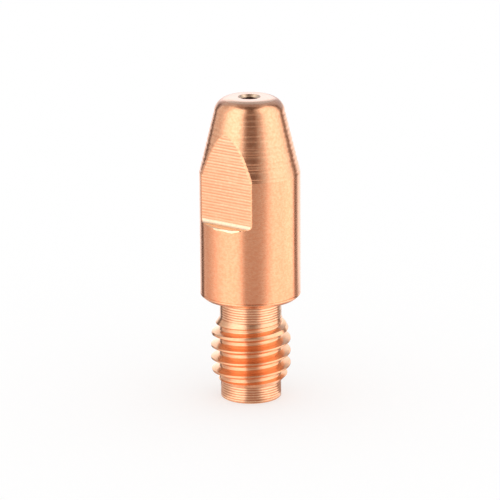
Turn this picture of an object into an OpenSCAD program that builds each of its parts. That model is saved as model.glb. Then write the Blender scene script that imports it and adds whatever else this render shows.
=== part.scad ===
// Welding contact tip: one turned copper piece that guides the wire and passes the current to it.
// Millimetres. +Z runs from the threaded end to the nose, and the origin is on the axis at the end face.
// The spanner flats face +Y and -Y.

/* [Body] */
// Length from the end face to the nose face
tip_length = 30; // [28:0.5:45]
// Diameter of the body
body_d = 9.75; // [9:0.05:12]
// Distance from the end face to the seat under the body
seat_height = 10.2; // [9.4:0.1:14]
// Chamfer on the body's lower edge
body_chamfer = 0.3; // [0.1:0.05:0.8]

/* [Nose] */
// Height of the conical nose
nose_height = 7.3; // [4:0.1:9]
// Slope of the cone, measured from the axis
nose_slope = 13.8; // [8:0.2:16]
// Radius that rounds the edge of the nose face
nose_round = 1.6; // [0.3:0.05:2]

/* [Wire bore] */
// Diameter of the bore that the wire runs through
bore_d = 1.5; // [0.8:0.1:2.6]
// Width of the chamfer at the bore's mouth in the nose face
mouth_chamfer = 0.36; // [0.05:0.01:0.5]
// Diameter of the wire entry in the end face
entry_d = 4; // [3:0.1:5]
// Full angle of the conical wire entry
entry_angle = 60; // [40:5:120]

/* [Spanner flats] */
// Distance across the two flats
across_flats = 7.7; // [7:0.1:8.8]
// Height of the flats' lower ends above the seat
flat_rise = 7.8; // [3:0.05:10]
// Radius that the cutter leaves in the corner at a flat's lower end
flat_fillet = 0.4; // [0.1:0.05:1]

/* [Thread] */
// Diameter over the crests of the thread
thread_d = 7.8; // [7:0.02:8]
// Rise of the thread in one turn
thread_pitch = 1.25; // [1:0.05:1.5]
// Diameter at the bottom of the groove
root_d = 6.1; // [6.08:0.02:6.6]
// Width of the crest
crest_width = 0.14; // [0.05:0.01:0.3]
// Slope of the thread's upper flank, measured from a plane across the axis
upper_flank_slope = 22; // [5:1:25]
// Slope of the thread's lower flank, measured from a plane across the axis
lower_flank_slope = 24; // [5:1:25]
// Direction in which the groove starts, turned about the axis
thread_start = 220; // [0:1:359]
// Height over which the crests rise from the pilot, on a curve
lead_in = 1.6; // [0.6:0.1:2.2]
// Height over which the crests sink to the neck, on a curve
lead_out = 2.2; // [0.6:0.1:2.6]

/* [Neck and pilot] */
// Diameter of the neck between the thread and the seat
neck_d = 6.04; // [5:0.02:6.04]
// Length of the neck
neck_length = 2.15; // [1.5:0.05:3.5]
// Diameter of the pilot below the thread
pilot_d = 5.92; // [5.4:0.02:6.04]
// Length of the pilot
pilot_length = 1.65; // [1:0.05:3]
// Chamfer on the pilot's end
pilot_chamfer = 0.1; // [0.05:0.05:0.4]

/* [Hidden] */

copper = [0.86, 0.57, 0.42];
round_steps = 96;
$fn = round_steps;
groove_steps_per_turn = 40;
lead_steps = 8;
full_turn = 360;
overcut = 0.5;

body_r = body_d / 2;
bore_r = bore_d / 2;
thread_r = thread_d / 2;
root_r = root_d / 2;
neck_r = neck_d / 2;
pilot_r = pilot_d / 2;
entry_r = entry_d / 2;
flat_offset = across_flats / 2;

// The cone's edge as it would be with no rounding, and where the rounding meets the face and the cone
cone_start = tip_length - nose_height;
cone_edge_r = body_r - nose_height * tan(nose_slope);
round_tangent = nose_round * tan((90 - nose_slope) / 2);
round_centre = [cone_edge_r - round_tangent, tip_length - nose_round];
round_on_face = [cone_edge_r - round_tangent, tip_length];
round_on_cone = [
    cone_edge_r + round_tangent * sin(nose_slope),
    tip_length - round_tangent * cos(nose_slope)
];

// The thread lies between the pilot and the neck
thread_low = pilot_length;
thread_high = seat_height - neck_length;

// Radius of the blank that the thread is cut in, at a share of the height of a lead
function lead_r(end_r, share) = thread_r - (thread_r - end_r) * pow(1 - share, 2);

// Reach of the groove down and up from its middle at a radius. Its floor side is the upper flank of the turn below
function groove_down(r) = (thread_pitch - crest_width) / 2 - (thread_r - r) * tan(upper_flank_slope);
function groove_up(r) = (thread_pitch - crest_width) / 2 - (thread_r - r) * tan(lower_flank_slope);
groove_outer_r = thread_r + overcut;

// The groove starts beside the pilot and ends beside the neck, clear of the material at both ends
groove_low = thread_low - groove_up(groove_outer_r);
groove_high = thread_high + groove_down(groove_outer_r);
groove_turn = full_turn * (groove_high - groove_low) / thread_pitch;
groove_steps = ceil(groove_turn / full_turn * groove_steps_per_turn);
groove_corners = [
    [root_r, -groove_down(root_r)],
    [groove_outer_r, -groove_down(groove_outer_r)],
    [groove_outer_r, groove_up(groove_outer_r)],
    [root_r, groove_up(root_r)]
];
groove_sides = len(groove_corners);

// The groove's section after a part of its whole turn, as points in space
function groove_section(turn) = let(
    direction = thread_start + turn,
    middle = groove_low + thread_pitch * turn / full_turn
) [for (corner = groove_corners) [corner[0] * cos(direction), corner[0] * sin(direction), middle + corner[1]]];

// Half of the turned outline, from the axis at the end face round to the axis at the nose face
module turned_outline() {
    polygon([
        [0, 0],
        [pilot_r - pilot_chamfer, 0],
        [pilot_r, pilot_chamfer],
        [pilot_r, thread_low],
        for (i = [1 : lead_steps])
            let(share = i / lead_steps) [lead_r(pilot_r, share), thread_low + lead_in * share],
        for (i = [lead_steps : -1 : 0])
            let(share = i / lead_steps) [lead_r(neck_r, share), thread_high - lead_out * share],
        [neck_r, seat_height],
        [body_r - body_chamfer, seat_height],
        [body_r, seat_height + body_chamfer],
        [body_r, cone_start],
        round_on_cone,
        round_on_face,
        [0, tip_length]
    ]);
    intersection() {
        translate(round_centre) circle(r = nose_round);
        polygon([round_centre, round_on_cone, [cone_edge_r, tip_length], round_on_face]);
    }
}

// The bore with its chamfered mouth in the nose face and its conical entry in the end face
module wire_bore() {
    entry_depth = (entry_r - bore_r) / tan(entry_angle / 2);
    entry_spread = overcut * tan(entry_angle / 2);
    mouth_r = bore_r + mouth_chamfer;
    rotate_extrude()
        polygon([
            [0, -overcut],
            [entry_r + entry_spread, -overcut],
            [bore_r, entry_depth],
            [bore_r, tip_length - mouth_chamfer],
            [mouth_r + overcut, tip_length + overcut],
            [0, tip_length + overcut]
        ]);
}

// What the cutter takes away for the flat that faces +Y, with its rounded corner at the lower end
module flat_cut() {
    flat_low = seat_height + flat_rise;
    cut_depth = body_r - flat_offset + overcut;
    cut_height = tip_length - flat_low + overcut;
    rotate([90, 0, 90])
        linear_extrude(height = 2 * body_r + 2 * overcut, center = true) {
            translate([flat_offset, flat_low + flat_fillet])
                square([cut_depth, cut_height - flat_fillet]);
            translate([flat_offset + flat_fillet, flat_low])
                square([cut_depth - flat_fillet, cut_height]);
            translate([flat_offset + flat_fillet, flat_low + flat_fillet])
                circle(r = flat_fillet);
        }
}

// The helical groove that leaves the thread standing, swept as one closed solid
module thread_groove() {
    points = [for (i = [0 : groove_steps]) each groove_section(groove_turn * i / groove_steps)];
    first_cap = [for (j = [groove_sides - 1 : -1 : 0]) j];
    last_cap = [for (j = [0 : groove_sides - 1]) groove_steps * groove_sides + j];
    walls = [
        for (i = [0 : groove_steps - 1], j = [0 : groove_sides - 1])
            let(
                a = i * groove_sides + j,
                b = i * groove_sides + (j + 1) % groove_sides
            )
            each [[a, b, b + groove_sides], [a, b + groove_sides, a + groove_sides]]
    ];
    polyhedron(points, [first_cap, last_cap, each walls]);
}

module contact_tip() {
    color(copper)
        difference() {
            rotate_extrude() turned_outline();
            wire_bore();
            for (side = [0, 1]) rotate(180 * side) flat_cut();
            thread_groove();
        }
}

contact_tip();
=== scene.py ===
"""Looks of the welding contact tip: a detailed copper skin over the solid, on a floor in a light tent."""

import math
from collections import namedtuple

import bmesh
import bpy
import numpy as np
from mathutils import Euler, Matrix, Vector


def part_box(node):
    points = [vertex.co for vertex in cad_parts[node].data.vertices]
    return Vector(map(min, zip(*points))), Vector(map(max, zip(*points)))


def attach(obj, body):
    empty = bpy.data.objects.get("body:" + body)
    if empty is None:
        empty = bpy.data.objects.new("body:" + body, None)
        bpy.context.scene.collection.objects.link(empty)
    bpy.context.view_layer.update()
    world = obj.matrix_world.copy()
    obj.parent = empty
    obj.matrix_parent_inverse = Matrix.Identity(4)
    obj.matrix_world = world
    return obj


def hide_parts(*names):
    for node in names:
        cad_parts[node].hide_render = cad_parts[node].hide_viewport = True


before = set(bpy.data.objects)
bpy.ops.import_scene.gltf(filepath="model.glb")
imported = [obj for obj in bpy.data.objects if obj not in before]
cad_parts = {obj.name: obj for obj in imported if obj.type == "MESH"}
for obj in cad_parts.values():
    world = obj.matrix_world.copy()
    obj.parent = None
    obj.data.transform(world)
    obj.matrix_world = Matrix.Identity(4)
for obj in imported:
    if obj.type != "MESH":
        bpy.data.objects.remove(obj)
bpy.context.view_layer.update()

# Units: the shape is written in millimetres, and Blender takes metres
MM = 0.001
QUARTER_TURN = math.pi / 2
HALF_TURN = math.pi
FULL_TURN = 2 * math.pi
FULL_DEGREES = 360

# Main sizes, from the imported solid
NODE = "contact_tip"
_, node_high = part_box(NODE)
TIP_LENGTH = node_high.z / MM
BODY_R = node_high.x / MM

# Turned shape, as in the part's source
SEAT_HEIGHT = 10.2
BODY_CHAMFER = 0.3
NOSE_HEIGHT = 7.3
NOSE_SLOPE = math.radians(13.8)
NOSE_ROUND = 1.6
BORE_R = 0.75
MOUTH_CHAMFER = 0.36
ENTRY_R = 2.0
ENTRY_HALF_ANGLE = math.radians(30)
NECK_R = 3.02
NECK_LENGTH = 2.15
PILOT_R = 2.96
PILOT_LENGTH = 1.65
PILOT_CHAMFER = 0.1

# Spanner flats, as in the part's source
FLAT_OFFSET = 3.85
FLAT_RISE = 7.8
FLAT_FILLET = 0.4

# Thread, as in the part's source
PITCH = 1.25
THREAD_R = 3.9
ROOT_R = 3.05
CREST_WIDTH = 0.14
UPPER_SPREAD = math.tan(math.radians(22))
LOWER_SPREAD = math.tan(math.radians(24))
THREAD_START = 220
LEAD_IN = 1.6
LEAD_OUT = 2.2
OVERCUT = 0.5

# Heights and radii that follow from these
THREAD_LOW = PILOT_LENGTH
THREAD_HIGH = SEAT_HEIGHT - NECK_LENGTH
FLAT_LOW = SEAT_HEIGHT + FLAT_RISE
CONE_START = TIP_LENGTH - NOSE_HEIGHT
CONE_EDGE_R = BODY_R - NOSE_HEIGHT * math.tan(NOSE_SLOPE)
MOUTH_R = BORE_R + MOUTH_CHAMFER
ENTRY_DEPTH = (ENTRY_R - BORE_R) / math.tan(ENTRY_HALF_ANGLE)

# Corners of the turned profile, as (radius, height)
NECK_FOOT = (NECK_R, THREAD_HIGH)
NECK_TOP = (NECK_R, SEAT_HEIGHT)
SEAT_EDGE = (BODY_R - BODY_CHAMFER, SEAT_HEIGHT)
BODY_FOOT = (BODY_R, SEAT_HEIGHT + BODY_CHAMFER)
SHOULDER = (BODY_R, CONE_START)
NOSE_EDGE = (CONE_EDGE_R, TIP_LENGTH)
MOUTH_EDGE = (MOUTH_R, TIP_LENGTH)
MOUTH_FOOT = (BORE_R, TIP_LENGTH - MOUTH_CHAMFER)
ENTRY_TOP = (BORE_R, ENTRY_DEPTH)
ENTRY_EDGE = (ENTRY_R, 0)
PILOT_EDGE = (PILOT_R - PILOT_CHAMFER, 0)
PILOT_FOOT = (PILOT_R, PILOT_CHAMFER)
PILOT_TOP = (PILOT_R, THREAD_LOW)

# Radii of the small rounded corners
NECK_FILLET = 0.12
SEAT_EDGE_ROUND = 0.06
BODY_EDGE_ROUND = 0.03
MOUTH_EDGE_ROUND = 0.04
BORE_EDGE_ROUND = 0.05
ENTRY_TOP_ROUND = 0.1
ENTRY_EDGE_ROUND = 0.05
PILOT_EDGE_ROUND = 0.03
ROOT_FILLET = 0.08
CREST_ROUND = 0.035

# Fine turned groove above the body's lower edge
GROOVE_DEPTH = 0.06
GROOVE_HALF_WIDTH = 0.055
GROOVE_RISE = 0.15

# Breaks on the flats' long edges, beside the body and beside the nose
BODY_BREAK = 0.07
NOSE_BREAK = 0.15

# Share of the mouth's chamfer, from its outer edge, that is painted pale as a painted highlight; the rest of
# it and the bore are painted near-black as painted shade
PAINTED_HIGHLIGHT_SHARE = 0.7

# Tool marks that are cut into the surface, and how their depth changes from line to line
Marks = namedtuple("Marks", "pitch depth")
NOSE_MARKS = Marks(0.48, 0.045)
FLAT_MARKS = Marks(0.29, 0.026)
END_MARKS = Marks(0.25, 0.034)
MARK_MEAN = 0.7
MARK_SWING = 0.3
MARK_WAVE = 9.1
MARK_DRIFT = 4.7

# Rolled edge below the flats: its height, its share without a burr, and how it thins to its ends
EDGE_ROLL = 0.36
ROLL_BASE = 0.35
ROLL_TAPER = 4

# The burr on that edge, in degrees from the flat's middle: its lumps, and dark specks on it in the bore's
# near-black painted-shade finish. Above a share of its full height it takes a paler finish, a painted
# highlight
Lump = namedtuple("Lump", "middle half_width height")
BURR_LUMPS = (Lump(-5, 8, 0.6), Lump(15, 9, 1.0))
BURR_SPECKS = (24.5, 28)
SPECK_HALF_WIDTH = 1.0
BURR_HIGHLIGHT_SHARE = 0.3
RAGGED_SHARE = 0.15
RAGGED_WAVE = 1.9
RAGGED_DRIFT = 0.7

# Fineness of the mesh
FLAT_COLUMNS = 32
ROUND_COLUMNS = 40
MARK_ROW = 0.045
HOLD = 0.05
CORNER_STEPS = 4
NOSE_STEPS = 20
FACED_ROWS = 9
EDGE_STEPS = 6
FILLET_STEPS = 10
BORE_STEPS = 6
MERGE_DISTANCE = 0.0005
THIN_EDGE = 0.0002
SHARP_ANGLE = math.radians(50)

# Columns of a row: a flat's share and a round side's share, twice
SMALLEST_HALF_ANGLE = math.radians(2.5)
LEDGE_HALF_ANGLE = math.acos((FLAT_OFFSET + FLAT_FILLET) / BODY_R)
FLAT_ZONE = FLAT_COLUMNS + 2
SIDE_ZONE = ROUND_COLUMNS + 2
HALF_COLUMNS = FLAT_ZONE + SIDE_ZONE
COLUMNS = 2 * HALF_COLUMNS
COLUMN_IN_FLAT = np.arange(COLUMNS) % HALF_COLUMNS < FLAT_ZONE - 1

# Finishes, in the order of the piece's material slots
# The cut and burr finishes are paler copper, a painted highlight; the bore finish is near-black copper,
# painted shade
BODY, NOSE, FLAT, END, THREAD, FACE, CUT_HIGHLIGHT, BURR_HIGHLIGHT, BORE_SHADE = range(9)


def corner(before, point, after, radius, steps=CORNER_STEPS):
    """A profile's corner, rounded. A point held close on each side keeps the faces beside it true."""
    p = Vector(point)
    to_before = (Vector(before) - p).normalized()
    to_after = (Vector(after) - p).normalized()
    half = to_before.angle(to_after) / 2
    reach = radius / math.tan(half)
    centre = p + (to_before + to_after).normalized() * (radius / math.sin(half))
    start = p + to_before * reach - centre
    end = p + to_after * reach - centre
    turn = start.angle(end)
    arc = []
    for i in range(steps + 1):
        share = i / steps
        start_part = math.sin((1 - share) * turn) / math.sin(turn)
        end_part = math.sin(share * turn) / math.sin(turn)
        arc.append(centre + start * start_part + end * end_part)
    hold = min(HOLD, reach)
    return [arc[0] + to_before * hold, *arc, arc[-1] + to_after * hold]


def marks(z, cut):
    """Depth of a tool's scalloped marks at a height, a little uneven from line to line."""
    uneven = MARK_MEAN + MARK_SWING * math.sin(z * MARK_WAVE + math.sin(z * MARK_DRIFT))
    share = z / cut.pitch % 1
    scallop = 4 * share * (1 - share)
    return cut.depth * uneven * scallop


def mark_heights(low, high):
    """Heights of the rows that carry the marks of a stretch."""
    return np.linspace(low, high, max(2, round((high - low) / MARK_ROW)))


def ring_angles(half_angle, edge_break=BODY_BREAK):
    """Directions of half of a row's columns, from the flat's middle: the flat's share and a round side's."""
    edge = edge_break / BODY_R
    hold = HOLD / BODY_R
    inner = np.linspace(-1, 1, FLAT_COLUMNS) * (half_angle - edge - hold)
    flat = np.concatenate([[edge - half_angle], inner, [half_angle - edge]])
    first = half_angle + edge
    between = np.linspace(first + hold, HALF_TURN - first - hold, ROUND_COLUMNS)
    side = np.concatenate([[first], between, [HALF_TURN - first]])
    return flat, side


def ring(radius, z, half_angle, flat_radius=None, flat_z=None, edge_break=BODY_BREAK):
    """One row of points. flat_radius and flat_z move the points in the flats' share off the round."""
    flat, side = ring_angles(half_angle, edge_break)
    reach = np.full(len(flat), radius) if flat_radius is None else flat_radius(flat)
    height = np.full(len(flat), z) if flat_z is None else flat_z(flat)
    points = []
    for turned in (0, HALF_TURN):
        a = QUARTER_TURN + turned + flat
        points.append(np.stack([reach * np.cos(a), reach * np.sin(a), height], 1))
        b = QUARTER_TURN + turned + side
        points.append(np.stack([radius * np.cos(b), radius * np.sin(b), np.full(len(b), z)], 1))
    return np.concatenate(points)


def chord(offset, radius):
    """Distance from the axis to a flat at that offset, or to the round where the round is nearer."""
    return lambda angles: np.minimum(radius, offset / np.cos(angles))


def half_angle_at(radius, offset):
    """Half of the angle that a flat at that offset takes of a round of that radius."""
    return max(math.acos(min(1.0, offset / radius)), SMALLEST_HALF_ANGLE)


class Skin:
    """Collects rows of points and the faces between them."""

    def __init__(self):
        self.points = []
        self.faces = []
        self.finishes = []

    def add(self, rows):
        """Adds rows of (points, finish of the faces up to the next row, finish of those in a flat)."""
        base = len(self.points) * COLUMNS
        for i, (points, finish, flat_finish) in enumerate(rows):
            self.points.append(points)
            if i + 1 < len(rows):
                self.band(base + i * COLUMNS, base + (i + 1) * COLUMNS, finish, flat_finish)

    def band(self, low, high, finish, flat_finish, shift=0):
        """Adds the faces between two rows.

        flat_finish is one finish or a list with one for each column. shift moves the far side of the last
        column up by that many rows, for a helix.
        """
        for j in range(COLUMNS):
            k = (j + 1) % COLUMNS
            rise = shift * COLUMNS if k == 0 else 0
            self.faces.append((low + j, low + k + rise, high + k + rise, high + j))
            if not COLUMN_IN_FLAT[j]:
                self.finishes.append(finish)
            elif isinstance(flat_finish, int):
                self.finishes.append(flat_finish)
            else:
                self.finishes.append(flat_finish[j % HALF_COLUMNS])


def revolved(profile, finish, half_angle=LEDGE_HALF_ANGLE):
    """Rows of a plain turned stretch."""
    return [(ring(r, z, half_angle), finish, finish) for r, z in profile]


def neck_rows():
    """From the thread's upper end over the marked neck and the seat to the groove on the body."""
    fillet = corner(NECK_FOOT, NECK_TOP, SEAT_EDGE, NECK_FILLET)
    rows = revolved([NECK_FOOT], END)
    for z in mark_heights(THREAD_HIGH + HOLD, fillet[0][1] - HOLD):
        rows += revolved([(NECK_R - marks(z, END_MARKS), z)], END)
    rows += revolved(fillet, END)
    rows += revolved(corner(NECK_TOP, SEAT_EDGE, BODY_FOOT, SEAT_EDGE_ROUND), BODY)
    rows += revolved(corner(SEAT_EDGE, BODY_FOOT, SHOULDER, BODY_EDGE_ROUND), BODY)
    for step in (-2, -1, 0, 1, 2):
        depth = 0 if step else GROOVE_DEPTH
        z = BODY_FOOT[1] + GROOVE_RISE + step * GROOVE_HALF_WIDTH
        rows += revolved([(BODY_R - depth, z)], BODY)
    return rows


def burr(angles):
    """A ragged edge's share of full height, between 0 and 1."""
    degrees = np.degrees(angles)
    lumps = 0
    for lump in BURR_LUMPS:
        lumps = lumps + lump.height * np.exp(-(((degrees - lump.middle) / lump.half_width) ** 2))
    ragged = np.sin(degrees * RAGGED_WAVE) * np.sin(degrees * RAGGED_DRIFT + 1)
    return np.clip(lumps * (1 - RAGGED_SHARE + RAGGED_SHARE * ragged), 0, 1)


def burr_finishes():
    """Finish of the rolled edge at each column of a flat's share: paler where the burr stands high, a painted
    highlight, and the bore's near-black painted shade at the specks.
    """
    angles = ring_angles(LEDGE_HALF_ANGLE)[0]
    finishes = []
    for angle, share in zip(angles, burr(angles)):
        speck = any(abs(math.degrees(angle) - place) < SPECK_HALF_WIDTH for place in BURR_SPECKS)
        bright = BURR_HIGHLIGHT if share > BURR_HIGHLIGHT_SHARE else BODY
        finishes.append(BORE_SHADE if speck else bright)
    return finishes


def edge_roll(angles):
    """How far the edge below a flat is rolled over. It is nothing at the edge's ends."""
    taper = 1 - (angles / LEDGE_HALF_ANGLE) ** ROLL_TAPER
    return EDGE_ROLL * taper * (ROLL_BASE + (1 - ROLL_BASE) * burr(angles))


def rolled_row(turn):
    """A row of the rolled edge, at an angle round its roll."""
    inward = 1 - math.cos(turn)
    below = 1 - math.sin(turn)

    def radius(angles):
        return BODY_R - edge_roll(angles) * inward

    def height(angles):
        return FLAT_LOW - edge_roll(angles) * below

    return ring(BODY_R, FLAT_LOW - EDGE_ROLL * below, LEDGE_HALF_ANGLE, radius, height)


def ledge_rows():
    """The rolled and ragged edge, the ledge and its fillet at the flats' lower ends. The fillet and the upper
    half of the rolled edge are painted paler, as a painted highlight.
    """
    edge_finish = burr_finishes()
    rows = revolved([(BODY_R, FLAT_LOW - EDGE_ROLL - HOLD)], BODY)
    for i in range(EDGE_STEPS + 1):
        flat_finish = edge_finish if i < EDGE_STEPS / 2 else CUT_HIGHLIGHT
        rows.append((rolled_row(QUARTER_TURN * i / EDGE_STEPS), BODY, flat_finish))
    for i in range(FILLET_STEPS + 1):
        turn = QUARTER_TURN * i / FILLET_STEPS
        offset = FLAT_OFFSET + FLAT_FILLET * (1 - math.sin(turn))
        z = FLAT_LOW + FLAT_FILLET * (1 - math.cos(turn))
        flat_finish = CUT_HIGHLIGHT if i < FILLET_STEPS else FLAT
        row = ring(BODY_R, z, half_angle_at(BODY_R, offset), chord(offset, BODY_R))
        rows.append((row, BODY, flat_finish))
    return rows


def flat_row(radius, z, finish, edge_break):
    """A row of the marked flats and of the round beside them."""
    offset = FLAT_OFFSET - marks(z, FLAT_MARKS)
    half_angle = half_angle_at(radius, offset)
    flat_finish = FLAT if half_angle > SMALLEST_HALF_ANGLE else finish
    row = ring(radius, z, half_angle, chord(offset, radius), edge_break=edge_break)
    return row, finish, flat_finish


def flat_rows(cone_end):
    """The marked flats, beside the smooth body and then beside the marked cone, up to the cone's end."""
    rows = []
    for z in mark_heights(FLAT_LOW + FLAT_FILLET + HOLD, CONE_START - HOLD):
        rows.append(flat_row(BODY_R, z, BODY, BODY_BREAK))
    for z in mark_heights(CONE_START, cone_end):
        radius = BODY_R - (z - CONE_START) * math.tan(NOSE_SLOPE)
        rows.append(flat_row(radius - marks(z, NOSE_MARKS), z, NOSE, NOSE_BREAK))
    return rows


def nose_rows(rounding):
    """The nose's rounded edge, its face, the bore's mouth and the bore."""
    mouth = corner(NOSE_EDGE, MOUTH_EDGE, MOUTH_FOOT, MOUTH_EDGE_ROUND)
    bore_edge = corner(MOUTH_EDGE, MOUTH_FOOT, ENTRY_TOP, BORE_EDGE_ROUND)
    bright = PAINTED_HIGHLIGHT_SHARE * MOUTH_CHAMFER
    bore = []
    for i in range(1, BORE_STEPS):
        bore.append((BORE_R, MOUTH_FOOT[1] + i / BORE_STEPS * (ENTRY_DEPTH - MOUTH_FOOT[1])))
    rows = []
    # The mouth's chamfer is painted pale near its outer edge, a painted highlight, and near-black further in
    # and down the bore, painted shade
    for profile, finish in (
        (rounding[1:-FACED_ROWS], NOSE),
        (rounding[-FACED_ROWS:] + mouth[:-2], FACE),
        (mouth[-2:], CUT_HIGHLIGHT),
        ([(MOUTH_R - bright, TIP_LENGTH - bright), *bore_edge, *bore], BORE_SHADE),
    ):
        rows += revolved(profile, finish, SMALLEST_HALF_ANGLE)
    return rows


def end_rows():
    """From the wire entry over the end face and the marked pilot to the thread's lower end."""
    pilot_corner = corner(PILOT_EDGE, PILOT_FOOT, PILOT_TOP, PILOT_EDGE_ROUND)
    profile = corner(MOUTH_FOOT, ENTRY_TOP, ENTRY_EDGE, ENTRY_TOP_ROUND)
    profile += corner(ENTRY_TOP, ENTRY_EDGE, PILOT_EDGE, ENTRY_EDGE_ROUND)
    profile += corner(ENTRY_EDGE, PILOT_EDGE, PILOT_FOOT, PILOT_EDGE_ROUND)
    profile += pilot_corner
    for z in mark_heights(pilot_corner[-1][1] + HOLD, THREAD_LOW - HOLD):
        profile.append((PILOT_R - marks(z, END_MARKS), z))
    return revolved([*profile, PILOT_TOP], END)


def outside_rows():
    """All rows but the thread's: from the neck over the nose and through the bore to the pilot."""
    rounding = corner(SHOULDER, NOSE_EDGE, MOUTH_EDGE, NOSE_ROUND, NOSE_STEPS)
    cone_end = rounding[0][1]
    return neck_rows() + ledge_rows() + flat_rows(cone_end) + nose_rows(rounding) + end_rows()


# Thread's mesh: spare turns at its ends, halvings in a search, and the least half width of a crest
SPARE_TURNS = 2
HALVINGS = 30
LEAST_CREST = 0.01

# Shares of a flank's height that keep its rows in order where the thread runs out
BEND_SHARE = 0.2
ABOVE_BEND_SHARE = 0.4
MIDDLE_SHARE = 0.5
BELOW_EDGE_SHARE = 0.6
EDGE_SHARE = 0.8
CREST_SHARE = 0.9

# How far the middle of a rounded root and of a rounded crest edge stands off its corner, as a share
ROOT_BEND = 0.27
CREST_BEND = 0.25


def blank_radius(z):
    """Radius of the turned blank that the thread is cut in, with the curves that lead in and out."""
    from_pilot = np.clip(1 - (z - THREAD_LOW) / LEAD_IN, 0, 1)
    from_neck = np.clip(1 - (THREAD_HIGH - z) / LEAD_OUT, 0, 1)
    return THREAD_R - (THREAD_R - PILOT_R) * from_pilot**2 - (THREAD_R - NECK_R) * from_neck**2


def flank_half(r, side):
    """Reach of the thread at a radius from the middle of its crest. side is 1 upwards and -1 downwards."""
    return CREST_WIDTH / 2 + (THREAD_R - r) * (UPPER_SPREAD if side > 0 else LOWER_SPREAD)


def crest_edge(middle, side):
    """Radius at which the upper or the lower flank runs out into the blank's surface."""
    low = np.full(len(middle), ROOT_R)
    high = np.full(len(middle), THREAD_R)
    for _ in range(HALVINGS):
        r = (low + high) / 2
        z = middle + side * flank_half(r, side)
        inside = r < blank_radius(z)
        low = np.where(inside, r, low)
        high = np.where(inside, high, r)
    return low


def flank_rows(middle, side):
    """A flank's rows of (radius, height) at each column, from the root to the crest."""
    edge_r = crest_edge(middle, side)
    depth = np.maximum(edge_r - ROOT_R, 0)
    root = np.full(len(middle), ROOT_R)
    root_half = flank_half(ROOT_R, side)
    edge_half = flank_half(edge_r, side)
    bend = np.minimum(ROOT_FILLET, BEND_SHARE * depth)
    rows = [
        (root, root_half + 2 * ROOT_FILLET),
        (root, root_half + ROOT_FILLET),
        (root + ROOT_BEND * bend, root_half + ROOT_BEND * ROOT_FILLET),
    ]
    for rise in (
        bend,
        np.minimum(2 * ROOT_FILLET, ABOVE_BEND_SHARE * depth),
        MIDDLE_SHARE * depth,
        np.maximum(depth - 2 * CREST_ROUND, BELOW_EDGE_SHARE * depth),
        np.maximum(depth - CREST_ROUND, EDGE_SHARE * depth),
    ):
        rows.append((root + rise, flank_half(root + rise, side)))
    crest_bend = CREST_BEND * CREST_ROUND
    rows.append((root + np.maximum(depth - crest_bend, CREST_SHARE * depth), edge_half - crest_bend))
    rows.append((edge_r, np.maximum(edge_half - CREST_ROUND, LEAST_CREST)))
    return [(r, middle + side * half) for r, half in rows]


def add_thread(skin):
    """The thread as one helical skin: each turn's rows run on into the next turn's at the seam."""
    flat, side = ring_angles(LEDGE_HALF_ANGLE)
    angles = np.concatenate([flat, side, flat + HALF_TURN, side + HALF_TURN]) + QUARTER_TURN
    groove_low = THREAD_LOW - (PITCH - CREST_WIDTH) / 2 - OVERCUT * LOWER_SPREAD
    crest_at_zero = groove_low - PITCH * THREAD_START / FULL_DEGREES + PITCH / 2
    first = math.floor((THREAD_LOW - crest_at_zero) / PITCH) - SPARE_TURNS
    turns = math.ceil((THREAD_HIGH - THREAD_LOW) / PITCH) + 2 * SPARE_TURNS
    base = len(skin.points) * COLUMNS
    rows = []
    for turn in range(first, first + turns):
        middle = crest_at_zero + PITCH * (turn + angles / FULL_TURN)
        rows += flank_rows(middle, -1) + flank_rows(middle, 1)[::-1]
    for r, z in rows:
        z = np.clip(z, THREAD_LOW, THREAD_HIGH)
        r = np.minimum(r, blank_radius(z))
        skin.points.append(np.stack([r * np.cos(angles), r * np.sin(angles), z], 1))
    per_turn = len(rows) // turns
    for i in range(len(rows) - 1):
        low = base + i * COLUMNS
        shift = per_turn if i + 1 + per_turn < len(rows) else 0
        skin.band(low, low + COLUMNS, THREAD, THREAD, shift)


def build_piece():
    """The whole skin as one closed mesh."""
    skin = Skin()
    skin.add(outside_rows())
    add_thread(skin)
    mesh = bpy.data.meshes.new("contact_tip_skin")
    points = np.concatenate(skin.points) * MM
    mesh.from_pydata(points.tolist(), [], skin.faces)
    mesh.polygons.foreach_set("material_index", skin.finishes)
    made = bmesh.new()
    made.from_mesh(mesh)
    bmesh.ops.remove_doubles(made, verts=made.verts, dist=MERGE_DISTANCE * MM)
    bmesh.ops.dissolve_degenerate(made, edges=made.edges, dist=THIN_EDGE * MM)
    bmesh.ops.recalc_face_normals(made, faces=made.faces)
    made.to_mesh(mesh)
    made.free()
    mesh.shade_smooth()
    mesh.set_sharp_from_angle(angle=SHARP_ANGLE)
    piece = bpy.data.objects.new("contact_tip_skin", mesh)
    bpy.context.scene.collection.objects.link(piece)
    return piece


def add_node(tree, kind, inputs=None, **settings):
    """A shader node with its settings and inputs. An input is a value, or a socket that is linked."""
    node = tree.nodes.new(kind)
    for name, value in settings.items():
        setattr(node, name, value)
    for name, value in (inputs or {}).items():
        socket = node.inputs[name]
        if isinstance(value, bpy.types.NodeSocket):
            tree.links.new(value, socket)
        else:
            socket.default_value = value
    return node


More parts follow.
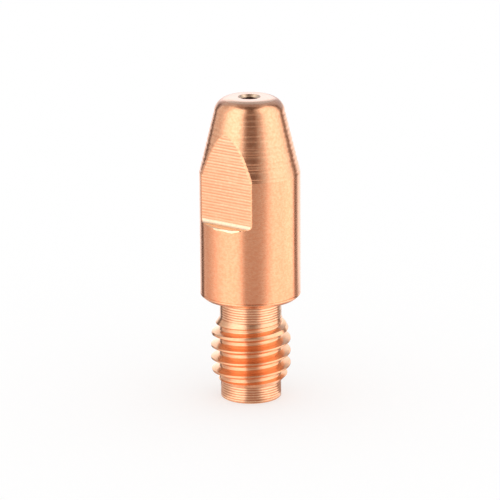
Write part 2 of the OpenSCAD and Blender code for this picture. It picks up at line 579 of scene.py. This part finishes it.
# Tones of each kind of surface: two between which its colour drifts, and that in the bottom of its lines
Tones = namedtuple("Tones", "light dark line")
TURNED_TONES = Tones((0.97, 0.52, 0.31, 1), (0.92, 0.43, 0.24, 1), (0.88, 0.40, 0.22, 1))
END_TONES = Tones((0.98, 0.69, 0.47, 1), (0.96, 0.61, 0.39, 1), (0.66, 0.28, 0.14, 1))
FLAT_TONES = Tones((0.96, 0.61, 0.39, 1), (0.94, 0.54, 0.33, 1), (0.82, 0.36, 0.20, 1))
THREAD_TONES = Tones((0.96, 0.57, 0.35, 1), (0.93, 0.52, 0.31, 1), (0.90, 0.46, 0.26, 1))
FACE_TONES = Tones((0.95, 0.58, 0.37, 1), (0.93, 0.55, 0.34, 1), (0.88, 0.50, 0.31, 1))
# Paler copper of the cut faces: a painted highlight
CUT_HIGHLIGHT_TONES = Tones((0.98, 0.75, 0.54, 1), (0.96, 0.69, 0.47, 1), (0.93, 0.60, 0.39, 1))
# Paler copper of the burr's high parts: a painted highlight
BURR_HIGHLIGHT_TONES = Tones((1.0, 0.84, 0.57, 1), (1.0, 0.76, 0.48, 1), (0.98, 0.68, 0.42, 1))
# Near-black copper of the bore, and its dark edge tint: painted shade of the hole
BORE_SHADE_TONES = Tones((0.06, 0.022, 0.016, 1), (0.04, 0.015, 0.01, 1), (0.03, 0.01, 0.008, 1))
BORE_GRAZING_SHADE_TINT = (0.2, 0.1, 0.07, 1)

# Finishes: pitch and depth of the even lines, strength of the darker tone along them, depth of ragged lines,
# and the gloss
Finish = namedtuple("Finish", "name tones pitch depth stain ragged roughness anisotropy")
FINISHES = {
    BODY: Finish("body_copper", TURNED_TONES, 0.12, 0.0005, 0.2, 0.0015, 0.27, 0.7),
    NOSE: Finish("nose_copper", TURNED_TONES, NOSE_MARKS.pitch, 0.003, 0.3, 0.001, 0.25, 0.2),
    FLAT: Finish("flat_copper", FLAT_TONES, FLAT_MARKS.pitch, 0.004, 1.0, 0.003, 0.26, 0.2),
    END: Finish("end_copper", END_TONES, END_MARKS.pitch, 0.003, 1.0, 0.001, 0.25, 0.2),
    THREAD: Finish("thread_copper", THREAD_TONES, 0.24, 0.003, 0.5, 0.001, 0.26, 0.2),
    FACE: Finish("face_copper", FACE_TONES, 0.10, 0.0004, 0.2, 0.001, 0.28, 0.2),
    CUT_HIGHLIGHT: Finish("cut_copper", CUT_HIGHLIGHT_TONES, 0.10, 0.0004, 0.2, 0.002, 0.33, 0.2),
    BURR_HIGHLIGHT: Finish("burr_copper", BURR_HIGHLIGHT_TONES, 0.10, 0.0004, 0.2, 0.002, 0.35, 0.2),
    BORE_SHADE: Finish("bore_copper", BORE_SHADE_TONES, 0.10, 0.0004, 0.2, 0.001, 0.5, 0.2),
}

# Texture of the copper: a wave texture has 20 waves in a full turn of its scaled length
WAVES_IN_TURN = 20
LINE_WOBBLE = 0.6
LINE_WOBBLE_SCALE = 0.4
RAGGED_STRETCH = (60, 60, 9000)
RAGGED_DETAIL = 4.0
BREAK_STRETCH = (700, 700, 5000)
BREAK_DETAIL = 3.0
BREAK_RANGE = (0.2, 0.5)
GRAIN_SCALE = 4000.0
GRAIN_DETAIL = 2.0
GRAIN_ROUGHNESS = 0.6
GRAIN_RANGE = (0.38, 0.62)
GLOSS_SPREAD = 0.15
ALONG_LINES = 0.25


def stretched_noise(tree, place, stretch, detail):
    """Noise that is drawn out round the part."""
    along = add_node(tree, "ShaderNodeMapping", {"Vector": place, "Scale": stretch})
    inputs = {"Vector": along.outputs[0], "Scale": 1.0, "Detail": detail}
    return add_node(tree, "ShaderNodeTexNoise", inputs).outputs["Fac"]


def remap(tree, value, source, target):
    """A value's range carried over to another range."""
    inputs = {
        "Value": value,
        "From Min": source[0],
        "From Max": source[1],
        "To Min": target[0],
        "To Max": target[1],
    }
    return add_node(tree, "ShaderNodeMapRange", inputs).outputs[0]


def mix(tree, factor, first, second):
    """A colour between two colours."""
    inputs = {"Factor": factor, "A": first, "B": second}
    return add_node(tree, "ShaderNodeMix", inputs, data_type="RGBA").outputs["Result"]


def bump(tree, height, distance, normal=None):
    """A surface raised by a texture, on top of another bump if there is one."""
    inputs = {"Height": height, "Distance": distance * MM, "Strength": 1.0}
    if normal is not None:
        inputs["Normal"] = normal
    return add_node(tree, "ShaderNodeBump", inputs).outputs[0]


def copper(finish):
    """Bare copper with a tool's marks: even lines at a pitch, and finer ragged lines between them."""
    material = bpy.data.materials.new(finish.name)
    material.use_nodes = True
    tree = material.node_tree
    shader = tree.nodes["Principled BSDF"]
    place = add_node(tree, "ShaderNodeTexCoord").outputs["Object"]

    # Even lines across the axis, and ragged lines
    wave = {
        "Vector": place,
        "Scale": FULL_TURN / (WAVES_IN_TURN * finish.pitch * MM),
        "Distortion": LINE_WOBBLE,
        "Detail Scale": LINE_WOBBLE_SCALE,
    }
    lines = add_node(tree, "ShaderNodeTexWave", wave, bands_direction="Z").outputs["Fac"]
    ragged = stretched_noise(tree, place, RAGGED_STRETCH, RAGGED_DETAIL)
    normal = bump(tree, ragged, finish.ragged, bump(tree, lines, finish.depth))

    # Grain of the colour, and the lines' tone where they aren't broken
    grain = {
        "Vector": place,
        "Scale": GRAIN_SCALE,
        "Detail": GRAIN_DETAIL,
        "Roughness": GRAIN_ROUGHNESS,
    }
    cloud = add_node(tree, "ShaderNodeTexNoise", grain).outputs["Fac"]
    drift = remap(tree, cloud, GRAIN_RANGE, (0, 1))
    tint = mix(tree, drift, finish.tones.light, finish.tones.dark)
    broken = stretched_noise(tree, place, BREAK_STRETCH, BREAK_DETAIL)
    strength = remap(tree, broken, BREAK_RANGE, (0, finish.stain))
    toned = add_node(tree, "ShaderNodeMath", {0: lines, 1: strength}, operation="MULTIPLY").outputs[0]
    colour = mix(tree, toned, tint, finish.tones.line)

    # Gloss, drawn out along the lines
    least = finish.roughness * (1 - GLOSS_SPREAD)
    most = finish.roughness * (1 + GLOSS_SPREAD)
    roughness = remap(tree, ragged, (0, 1), (least, most))
    tangent = add_node(tree, "ShaderNodeTangent", direction_type="RADIAL", axis="Z").outputs[0]

    tree.links.new(normal, shader.inputs["Normal"])
    tree.links.new(colour, shader.inputs["Base Color"])
    tree.links.new(roughness, shader.inputs["Roughness"])
    tree.links.new(tangent, shader.inputs["Tangent"])
    shader.inputs["Metallic"].default_value = 1.0
    shader.inputs["Anisotropic"].default_value = finish.anisotropy
    shader.inputs["Anisotropic Rotation"].default_value = ALONG_LINES
    return material


def paint_bore_grazing_shade(material):
    """Painted shade: takes the pale shine at a low angle off the bore's near-black wall."""
    material.node_tree.nodes["Principled BSDF"].inputs["Specular Tint"].default_value = BORE_GRAZING_SHADE_TINT


piece = build_piece()
for index in sorted(FINISHES):
    piece.data.materials.append(copper(FINISHES[index]))
paint_bore_grazing_shade(piece.data.materials[BORE_SHADE])
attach(piece, "root")
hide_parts(NODE)

# The camera, fitted to the photograph
CAMERA_AZIMUTH = math.radians(36.5)
CAMERA_ELEVATION = math.radians(15.88)
CAMERA_DISTANCE = 300 * MM
CAMERA_ROLL = math.radians(-0.347)
CAMERA_LENS = 223.0
CAMERA_SHIFT = (-0.0005, -0.0049)
CAMERA_NEAR = 0.01
CAMERA_FAR = 20


def direction(azimuth, elevation):
    """Unit vector from the part towards a direction. The azimuth runs from the camera's side to its right."""
    a = CAMERA_AZIMUTH + azimuth
    level = math.cos(elevation)
    return Vector((math.sin(a) * level, -math.cos(a) * level, math.sin(elevation)))


def add_camera():
    """The camera looks at the middle of the part."""
    data = bpy.data.cameras.new("camera")
    data.lens = CAMERA_LENS
    data.shift_x, data.shift_y = CAMERA_SHIFT
    data.clip_start = CAMERA_NEAR
    data.clip_end = CAMERA_FAR
    camera = bpy.data.objects.new("camera", data)
    back = direction(0, CAMERA_ELEVATION)
    camera.location = Vector((0, 0, TIP_LENGTH / 2 * MM)) + back * CAMERA_DISTANCE
    aim = (-back).to_track_quat("-Z", "Y")
    camera.rotation_euler = (aim @ Euler((0, 0, CAMERA_ROLL)).to_quaternion()).to_euler()
    bpy.context.scene.collection.objects.link(camera)
    bpy.context.scene.camera = camera


def stage_mesh(name, points, faces, material):
    """A mesh of the set, which isn't part of the object."""
    mesh = bpy.data.meshes.new(name)
    mesh.from_pydata(points, [], faces)
    mesh.materials.append(material)
    made = bpy.data.objects.new(name, mesh)
    bpy.context.scene.collection.objects.link(made)
    return made


# The floor, in metres, and the share of it that the camera and reflections see as plain white
FLOOR_HALF_SIZE = 3.0
WHITE_SHARE = 0.5
WHITE = (1, 1, 1, 1)


def add_floor():
    """White floor that keeps a faint shadow: a share of it is a plain white of strength 1."""
    material = bpy.data.materials.new("floor")
    material.use_nodes = True
    tree = material.node_tree
    tree.nodes.clear()
    path = add_node(tree, "ShaderNodeLightPath").outputs
    seen = path["Is Camera Ray"]
    for kind in ("Is Glossy Ray", "Is Transmission Ray"):
        seen = add_node(tree, "ShaderNodeMath", {0: seen, 1: path[kind]}, operation="MAXIMUM").outputs[0]
    share = add_node(tree, "ShaderNodeMath", {0: seen, 1: WHITE_SHARE}, operation="MULTIPLY").outputs[0]
    matt = add_node(tree, "ShaderNodeBsdfDiffuse", {"Color": WHITE}).outputs[0]
    plain = add_node(tree, "ShaderNodeEmission", {"Color": WHITE, "Strength": 1.0}).outputs[0]
    both = add_node(tree, "ShaderNodeMixShader", {0: share, 1: matt, 2: plain}).outputs[0]
    add_node(tree, "ShaderNodeOutputMaterial", {"Surface": both})
    corners = ((-1, -1), (1, -1), (1, 1), (-1, 1))
    points = [(x * FLOOR_HALF_SIZE, y * FLOOR_HALF_SIZE, 0) for x, y in corners]
    stage_mesh("floor", points, [(0, 1, 2, 3)], material)


# The light tent that the metal reflects, in millimetres
TENT_RADIUS = 45.0
TENT_HEIGHT = 130.0
CARD_HEIGHT = 0.05
GAP_ROUND_PART = 0.3
LID_HOLE = 0.5
AZIMUTH_STEP = 3
WALL_ROWS = 34
CARD_ROWS = 14
WALL_GLOW = 0.55
DARKEST_GLOW = 0.08

# Tints of its light: warm low in front, cool high behind, and warm where it is dark
LOW_TINT = (1.2, 1.0, 0.93)
LOW_TINT_TOP = 14
TINT_END = 125
TINT_BLUR = 20
COOL_TINT = (0.88, 1.0, 1.22)
COOL_START = 32
COOL_BLUR = 8
DARK_TINT = (1.2, 0.88, 0.78)
DARK_LEVEL = 0.36
DARK_BLUR = 0.3

# Panels that brighten or darken a stretch of it: sides in degrees from the camera's side to its right
Panel = namedtuple("Panel", "left left_blur right right_blur bottom top fade glow")
ABOVE = 200.0
BELOW = -200.0
PANELS = {
    "left_wall": Panel(-84, 60, -19, 18, -12, 112, 14, 0.72),
    "left_window": Panel(-80, 26, -24, 16, 20, 112, 14, 0.5),
    "left_floor": Panel(-84, 44, -19, 18, -33, -12, 10, 0.62),
    "left_low_floor": Panel(-60, 40, -17, 18, -34, -16, 6, 0.4),
    "left_near_floor": Panel(-60, 40, -17, 14, BELOW, -33, 10, 0.75),
    "left_high": Panel(-112, 16, -84, 16, 70, 110, 14, 0.4),
    "left_edge": Panel(-126, 4, -98, 20, 24, 60, 8, 0.2),
    "left_floor_edge": Panel(-124, 8, -98, 12, -9, -2, 4, 0.12),
    "front_gap": Panel(-14, 10, 22, 12, 21, 118, 8, -0.42),
    "front_slot": Panel(-14, 10, 22, 12, 45, 58, 8, 0.3),
    "front_lid": Panel(-70, 30, 70, 30, 116, ABOVE, 10, -0.4),
    "front_floor": Panel(-14, 12, 22, 14, BELOW, -8, 12, -0.2),
    "right_wall": Panel(40, 28, 112, 8, -12, 112, 14, 0.75),
    "right_window": Panel(45, 30, 95, 24, 20, 112, 14, 0.3),
    "right_edge": Panel(84, 20, 113, 6, -12, 16, 10, 0.25),
    "right_floor": Panel(32, 26, 96, 40, -33, -12, 10, 0.62),
    "right_near_floor": Panel(32, 26, 90, 8, BELOW, -33, 10, 0.62),
    "right_near_gap": Panel(93, 5, 124, 8, BELOW, -34, 5, -0.2),
    "right_low_floor": Panel(32, 26, 76, 20, -34, -16, 6, 0.4),
    "right_gap": Panel(114, 4, 129, 4, -7, 90, 6, -0.45),
    "right_floor_gap": Panel(112, 6, 142, 8, -33, -7, 5, -0.1),
    "right_back": Panel(133, 5, 174, 6, -7, 28, 6, 0.68),
    "right_back_floor": Panel(146, 8, 174, 6, -33, -7, 6, 0.4),
    "back_window": Panel(162, 8, 204, 8, 36, 60, 8, 1.0),
    "left_back": Panel(176, 5, 214, 4, BELOW, 32, 6, 0.55),
    "left_back_low": Panel(176, 5, 199, 5, BELOW, 16, 6, 0.4),
    "left_gap": Panel(216, 3, 232, 3, BELOW, 50, 8, -0.55),
    "left_sliver": Panel(233, 3, 241, 4, BELOW, 60, 6, 0.2),
    "lid": Panel(-180, 1, 180, 1, 124, ABOVE, 12, -0.17),
}


def soft_step(value, edge, blur):
    """Rises smoothly from 0 to 1 about an edge."""
    t = np.clip((value - edge) / blur + 0.5, 0, 1)
    return t * t * (3 - 2 * t)


def panel_share(panel, azimuth, z):
    """Share of a panel's glow at a place of the tent."""
    across = 0
    for turned in (azimuth - FULL_DEGREES, azimuth, azimuth + FULL_DEGREES):
        from_left = soft_step(turned, panel.left, panel.left_blur)
        from_right = soft_step(-turned, -panel.right, panel.right_blur)
        across = max(across, from_left * from_right)
    from_bottom = soft_step(z, panel.bottom, panel.fade)
    from_top = soft_step(-z, -panel.top, panel.fade)
    return across * from_bottom * from_top


def tent_glow(azimuth, z):
    """Colour of the tent's light at a place, from 0 to 360 degrees. Below zero, z runs in over its floor."""
    glow = WALL_GLOW
    for panel in PANELS.values():
        glow += panel.glow * panel_share(panel, azimuth, z)
    glow = max(glow, DARKEST_GLOW)
    half = FULL_DEGREES / 2
    behind = soft_step(half - abs(azimuth - half), TINT_END, TINT_BLUR)
    warm = (1 - soft_step(z, LOW_TINT_TOP, LOW_TINT_TOP)) * (1 - behind)
    cool = soft_step(z, COOL_START, COOL_BLUR) * behind
    dark = 1 - soft_step(glow, DARK_LEVEL, DARK_BLUR)
    colour = []
    for low_part, cool_part, dark_part in zip(LOW_TINT, COOL_TINT, DARK_TINT):
        tint = 1 + warm * (low_part - 1) + cool * (cool_part - 1)
        colour.append(glow * tint * (1 + dark * (dark_part - 1)))
    return (*colour, 1.0)


def glow_material(name):
    """Light of a colour that the mesh holds at each point."""
    material = bpy.data.materials.new(name)
    material.use_nodes = True
    tree = material.node_tree
    tree.nodes.clear()
    glow = add_node(tree, "ShaderNodeAttribute", attribute_name="glow")
    light = add_node(tree, "ShaderNodeEmission", {"Color": glow.outputs["Color"]})
    add_node(tree, "ShaderNodeOutputMaterial", {"Surface": light.outputs[0]})
    return material


def glow_card(name, rings):
    """A card round the part, from rings of (radius, height, height at which the tent's light is taken).

    Only reflections show it.
    """
    azimuths = range(0, FULL_DEGREES, AZIMUTH_STEP)
    columns = len(azimuths)
    points = []
    glow = []
    for radius, z, light_z in rings:
        for azimuth in azimuths:
            p = direction(math.radians(azimuth), 0) * radius * MM
            points.append((p.x, p.y, z * MM))
            glow.append(tent_glow(azimuth, light_z))
    faces = []
    for row in range(len(rings) - 1):
        for i in range(columns):
            a = row * columns + i
            b = row * columns + (i + 1) % columns
            faces.append((a, b, b + columns, a + columns))
    card = stage_mesh(name, points, faces, glow_material(name))
    attribute = card.data.attributes.new("glow", "FLOAT_COLOR", "POINT")
    attribute.data.foreach_set("color", np.array(glow).ravel())
    card.visible_camera = False
    card.visible_diffuse = False
    card.visible_shadow = False


def add_tent():
    """The tent's wall, floor and lid. Its light runs on from the wall inwards over the floor and the lid."""
    heights = np.linspace(CARD_HEIGHT, TENT_HEIGHT, WALL_ROWS)
    floor_radii = np.linspace(PILOT_R + GAP_ROUND_PART, TENT_RADIUS, CARD_ROWS)
    lid_radii = np.linspace(TENT_RADIUS, LID_HOLE, CARD_ROWS)
    glow_card("tent_wall", [(TENT_RADIUS, z, z) for z in heights])
    glow_card("tent_floor", [(r, CARD_HEIGHT, r - TENT_RADIUS) for r in floor_radii])
    glow_card("tent_lid", [(r, TENT_HEIGHT, TENT_HEIGHT + TENT_RADIUS - r) for r in lid_radii])


def add_world():
    """Plain white light from all round."""
    world = bpy.data.worlds.new("studio")
    bpy.context.scene.world = world
    world.use_nodes = True
    background = world.node_tree.nodes["Background"]
    background.inputs["Color"].default_value = WHITE
    background.inputs["Strength"].default_value = 1.0


add_camera()
add_floor()
add_tent()
add_world()
bpy.context.scene.view_settings.view_transform = "Standard"
